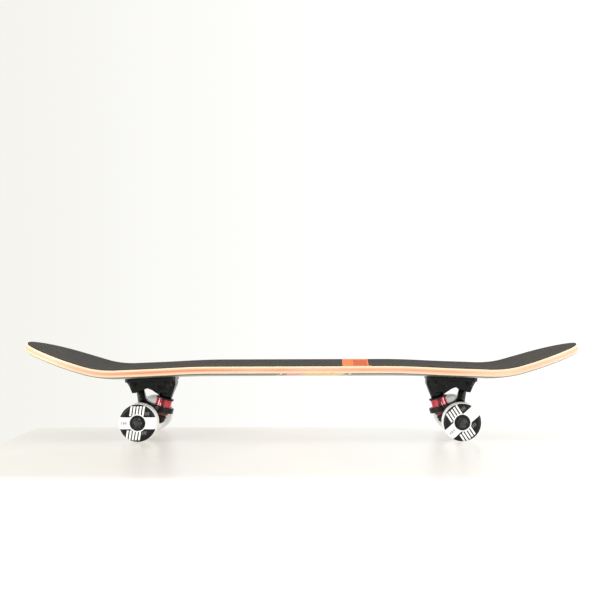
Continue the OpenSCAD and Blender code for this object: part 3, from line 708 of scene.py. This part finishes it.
def urethaneWheelPaint(name, spin):
    paint = Paint(name)
    paint.turn(spin)
    x, y, z = paint.axes()
    fine = 0.2 * mm
    radius = (x * x + y * y) ** 0.5
    ring = radius.rise(wheel["printInner"], wheel["printInner"] + fine)
    ring *= radius.rise(wheel["printOuter"] + fine, wheel["printOuter"])
    ring *= z.rise(wheel["printDepth"], wheel["printDepth"] + 2 * fine)
    panels = ring * abs(y).rise(wheel["bandHalf"], wheel["bandHalf"] + fine)
    # upright strokes left white in each dark panel
    slanted = x - y * wheel["strokeLean"]
    stroke = ((slanted - wheel["strokeFrom"]) / wheel["strokePitch"]).fraction()
    inside = slanted.rise(wheel["strokeFrom"], wheel["strokeFrom"] + fine)
    inside *= slanted.rise(wheel["strokeTo"] + fine, wheel["strokeTo"])
    inside *= abs(y).rise(wheel["strokeLow"], wheel["strokeLow"] + fine)
    inside *= abs(y).rise(wheel["strokeHigh"] + fine, wheel["strokeHigh"])
    strokes = inside * stroke.rise(0.64, 0.58)
    # small grey dashes beside them, and two on the white band
    dashes = (slanted / wheel["dashPitch"]).fraction().rise(0.6, 0.5)
    dashes *= slanted.rise(wheel["dashFrom"], wheel["dashFrom"] + fine)
    dashes *= slanted.rise(wheel["dashTo"] + fine, wheel["dashTo"])
    dashes *= abs(abs(y) - wheel["dashAt"]).rise(wheel["dashHalf"] + fine, wheel["dashHalf"])
    ticks = abs(y).rise(wheel["tickHalf"] + fine, wheel["tickHalf"])
    ticks *= abs(x - wheel["tickAt"]).rise(wheel["tickHalfLong"] + fine, wheel["tickHalfLong"])
    ticks *= (x / wheel["tickPitch"]).fraction().rise(0.75, 0.7)
    cloud = paint.noise(60, 3)
    colour = paint.mix(cloud.rise(0.4, 0.8), tint(*wheel["white"]), tint(*wheel["cloud"]))
    colour = paint.mix(panels * (1 - strokes), colour, tint(*wheel["print"]))
    colour = paint.mix((panels * dashes + ring * ticks) * 0.8, colour, tint(*wheel["faint"]))
    seam = abs(z).rise(0.25 * mm, 0.1 * mm) * radius.rise(26 * mm, 26.5 * mm)
    height = paint.noise(350, 3) * 0.2 + seam + panels * (1 - strokes) * 0.3
    roughness = wheel["roughness"] + cloud * wheel["cloudRoughness"]
    return paint.finish(colour, roughness, height, wheel["relief"], Specular_IOR_Level=wheel["shine"])


def wheelProfile():
    half, r, seat = wheel["halfWidth"], wheel["radius"], wheel["seatRadius"]
    face = [(seat + out * mm, half - down * mm) for out, down in wheel["faceSteps"]]
    face.append((r - wheel["shoulder"], half))
    shoulder = arc(r - wheel["shoulder"], wheel["treadHalf"], wheel["shoulder"],
                   half - wheel["treadHalf"], 80, 0, 9)
    tread = [(r, wheel["treadHalf"] * i / 3) for i in (2, 1)]
    outer = [(wheel["landRadius"], wheel["seatFrom"]), (seat, wheel["seatFrom"])] + face + shoulder + tread
    return outer + [(r, 0)] + [(a, -b) for a, b in reversed(outer)]


for name, spin in wheel["spins"].items():
    side = -1 if name.endswith("left") else 1
    place = Matrix.Translation(middle(name + "_wheel")) @ Matrix.Rotation(-side * math.pi / 2, 4, "X")
    printedWheel = urethaneWheelPaint(name + "_print", spin)
    tyre = turned(name + "_wheel_urethane", wheelProfile(), printedWheel, "wheel_urethane", place,
                  segments=wheel["segments"])
    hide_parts(name + "_wheel")
    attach(tyre, name + "_wheel_assembly")
print("wheels made")


# Finishes of the turned and pressed metal parts

metals = {
    "threadPitch": 1.06 * mm, "axleThreadFrom": 90 * mm,
    "shieldRings": [(9.0 * mm, 0.5 * mm), (6.6 * mm, 0.45 * mm)],    # radius and half-width
    "steel": (176, 177, 180), "steelDark": (132, 133, 137),
    "axle": (84, 84, 85), "axleDark": (58, 58, 59),
    "zincBlack": (44, 44, 44), "zincBlackWorn": (124, 124, 124),
    "oxide": (22, 23, 23), "oxideWorn": (46, 47, 47),
    "race": (40, 41, 42), "raceWorn": (70, 71, 72),
    # the shield's lighter colour: painted highlight on its rings, and the colour of its smudges
    "shield": (10, 10, 11), "shieldLight": (44, 45, 46),
    "nylon": (34, 34, 34), "nylonLight": (56, 56, 55),
}


def metalPaint(name, base, worn, roughness, metallic, threads=None):
    # bare or plated metal with fine scratches, and thread along one axis where it is cut
    paint = Paint(name)
    scratches = paint.noise(1, 3, paint.stretched(300, 2400, 2400))
    patches = paint.noise(130, 3)
    colour = paint.mix(patches.rise(0.45, 0.75), tint(*base), tint(*worn))
    height = scratches * 0.3
    if threads:
        x, y, z = paint.axes()
        along = y if threads == "axle" else z
        threadFrom = metals["axleThreadFrom"] if threads == "axle" else 0.0
        wave = abs((along / metals["threadPitch"]).fraction() - 0.5) * 2
        height = height * 0.1 + wave * abs(along).rise(threadFrom, threadFrom + 0.5 * mm)
    depth = 0.5 * mm if threads else 0.03 * mm
    return paint.finish(colour, roughness + scratches * 0.15, height, depth, Metallic=metallic)


def shieldPaint():
    # pressed bearing shield with shallow rings round the wheel's axis, the rings also painted lighter as a
    # painted highlight, with lighter smudges
    paint = Paint("bearingShield")
    x, y, z = paint.axes()
    dx = abs(x) - axles[1].x
    dz = z - axles[1].z
    radius = (dx * dx + dz * dz) ** 0.5
    rings = [abs(radius - place).rise(half, 0.2 * mm) for place, half in metals["shieldRings"]]
    lip = rings[0] + rings[1]
    smudge = paint.noise(300, 3)
    # painted highlight along the rings, plus lighter smudges of dirt
    light = lip * 0.5 + smudge.rise(0.55, 0.8) * 0.3
    colour = paint.mix(light, tint(*metals["shield"]), tint(*metals["shieldLight"]))
    return paint.finish(colour, 0.30 + smudge * 0.2, lip, 0.12 * mm)


def nylonPaint(name, base, light):
    paint = Paint(name)
    grain = paint.noise(650, 3)
    colour = paint.mix(grain.rise(0.4, 0.8), tint(*base), tint(*light))
    return paint.finish(colour, 0.46 + grain * 0.12, grain, 0.03 * mm)


steel, steelDark = metals["steel"], metals["steelDark"]
oxide, oxideWorn = metals["oxide"], metals["oxideWorn"]
finishes = {
    "pivot_cup": nylonPaint("pivotNylon", metals["nylon"], metals["nylonLight"]),
    "bearing_cages": nylonPaint("cageNylon", metals["nylon"], metals["nylonLight"]),
    "kingpin": metalPaint("kingpinSteel", steelDark, metals["zincBlackWorn"], 0.34, 0.9, "kingpin"),
    "kingpin_nut": metalPaint("kingpinNutBlack", oxide, oxideWorn, 0.34, 0.6),
    "boardside_washer": metalPaint("upperWasherBlack", oxide, oxideWorn, 0.30, 0.6),
    "roadside_washer": metalPaint("lowerWasherBlack", oxide, oxideWorn, 0.30, 0.6),
    "mounting_bolts": metalPaint("boltBlack", oxide, oxideWorn, 0.36, 0.5),
    "mounting_nuts": metalPaint("boltNutBlack", oxide, oxideWorn, 0.36, 0.5),
    "axle": metalPaint("axleSteel", metals["axle"], metals["axleDark"], 0.34, 1.0, "axle"),
    "axle_nuts": metalPaint("axleNutBlack", metals["zincBlack"], metals["zincBlackWorn"], 0.32, 0.7),
    "speed_washers": metalPaint("speedWasherSteel", metals["axle"], metals["axleDark"], 0.3, 1.0),
    "bearing_spacers": metalPaint("spacerSteel", steel, steelDark, 0.3, 1.0),
    "bearing_inner_races": metalPaint("innerRaceSteel", steel, steelDark, 0.2, 1.0),
    "bearing_outer_races": metalPaint("outerRaceSteel", metals["race"], metals["raceWorn"], 0.3, 0.8),
    "bearing_balls": metalPaint("ballSteel", steel, steelDark, 0.1, 1.0),
    "bearing_shields": shieldPaint(),
}
# how far the sharp edges of each part are rounded off, in millimetres
softEdges = {
    "kingpin": 0.4, "kingpin_nut": 0.35,
    "boardside_washer": 0.25, "roadside_washer": 0.25, "speed_washers": 0.2,
    "axle": 0.3, "axle_nuts": 0.35,
    "mounting_nuts": 0.3, "mounting_bolts": 0.15,
}


def softCopy(node, radius, material):
    # the solid's own shape with its sharp edges rounded off
    piece = solidCopy(node, "_finished")
    soft = piece.modifiers.new("edges", "BEVEL")
    soft.width = radius
    soft.segments = 2
    soft.angle_limit = math.radians(sharpAngle)
    standIn(piece, node, material)


endings = sorted(finishes, key=len, reverse=True)
for name, node in list(frame["nodes"].items()):
    if node.hide_render:
        continue
    ending = next(part for part in endings if name.endswith(part))
    if ending in softEdges:
        softCopy(name, softEdges[ending] * mm, finishes[ending])
        continue
    node.data.materials.clear()
    node.data.materials.append(finishes[ending])
print("finishes given")


# Table, light and camera

studio = {
    "table": {"left": -0.417, "right": 0.431, "back": 0.125, "front": -1.25, "thick": 0.03},
    "tableWhite": (128, 127, 124), "tableWarm": (122, 120, 115),
    "glowLeft": (204, 200, 192), "glowRight": (236, 234, 229), "glowStrength": 0.72,
    "glowFront": (1.3, 1.3, 1.3, 1), "frontFrom": -0.42, "frontTo": -0.56,
    "skyLeft": (237, 236, 230), "skyRight": (255, 255, 255),
    "skyBehind": (150, 150, 147), "skyStrength": 1.06,
    # name, place, size and power
    "lights": [("overhead", (0.1, -0.15, 1.6), (2.2, 1.0), 12),
               ("frontLeft", (-1.5, -1.7, 0.9), (0.9, 1.3), 26),
               ("frontRight", (1.3, -2.1, 0.8), (0.5, 1.3), 16),
               ("sideLeft", (-1.6, -0.5, 0.35), (0.5, 0.8), 9),
               ("sideRight", (1.6, -0.5, 0.35), (0.5, 0.8), 9)],
    "lightsFace": (0, 0, 0.05),
    "camera": {"place": (0.049, -1.905, 0.1983), "lens": 78, "yaw": 1.5, "roll": -0.26},
}


def tablePaint():
    paint = Paint("tableTop")
    cloud = paint.noise(3, 2)
    colour = paint.mix(cloud.rise(0.35, 0.7), tint(*studio["tableWhite"]), tint(*studio["tableWarm"]))
    x, y, z = paint.axes()
    glow = paint.mix(x.rise(-0.5, 0.4), tint(*studio["glowLeft"]), tint(*studio["glowRight"]))
    glow = paint.mix(y.rise(studio["frontFrom"], studio["frontTo"]), glow, studio["glowFront"])
    return paint.finish(colour, 0.30 + paint.noise(8, 3) * 0.08, paint.noise(60, 2), 0.01 * mm,
                        Emission_Color=glow, Emission_Strength=studio["glowStrength"])


def makeTable():
    t = studio["table"]
    corners = [(x, y, z) for x in (t["left"], t["right"]) for y in (t["front"], t["back"])
               for z in (-t["thick"], 0)]
    faces = [(0, 1, 3, 2), (4, 6, 7, 5), (0, 4, 5, 1), (2, 3, 7, 6), (0, 2, 6, 4), (1, 5, 7, 3)]
    slab = newPiece("table_top", corners, faces, tablePaint())
    soft = slab.modifiers.new("edges", "BEVEL")
    soft.width = 1.5 * mm
    soft.segments = 4
    applyModifiers(slab)


def makeSky():
    # paler to the right, and dim on the side that the camera stands on
    world = bpy.data.worlds.new("studioSky")
    sky = Paint("skyShades", world)
    x, y, z = sky.axes()
    colour = sky.mix(x.rise(-0.35, 0.15), tint(*studio["skyLeft"]), tint(*studio["skyRight"]))
    colour = sky.mix(y.rise(-0.1, -0.7), colour, tint(*studio["skyBehind"]))
    light = sky.node("ShaderNodeBackground", {}, {"Color": colour, "Strength": studio["skyStrength"]})
    sky.node("ShaderNodeOutputWorld", {}, {"Surface": light})
    bpy.context.scene.world = world


def makeLights():
    for name, place, size, power in studio["lights"]:
        lamp = bpy.data.lights.new(name, "AREA")
        lamp.shape = "RECTANGLE"
        lamp.size, lamp.size_y = size
        lamp.energy = power
        holder = bpy.data.objects.new(name, lamp)
        bpy.context.scene.collection.objects.link(holder)
        holder.location = place
        aim = Vector(studio["lightsFace"]) - Vector(place)
        holder.rotation_euler = aim.to_track_quat("-Z", "Y").to_euler()


def makeCamera():
    view = studio["camera"]
    lens = bpy.data.cameras.new("camera")
    lens.lens = view["lens"]
    lens.sensor_width = 36
    lens.clip_start = 0.05
    holder = bpy.data.objects.new("camera", lens)
    bpy.context.scene.collection.objects.link(holder)
    holder.location = view["place"]
    aim = Matrix.Rotation(math.radians(view["yaw"]), 4, "Z") @ Matrix.Rotation(math.pi / 2, 4, "X")
    aim = aim @ Matrix.Rotation(math.radians(view["roll"]), 4, "Z")
    holder.rotation_euler = aim.to_euler()
    bpy.context.scene.camera = holder


makeTable()
makeSky()
makeLights()
makeCamera()
bpy.context.scene.view_settings.view_transform = "Standard"
print("studio made")
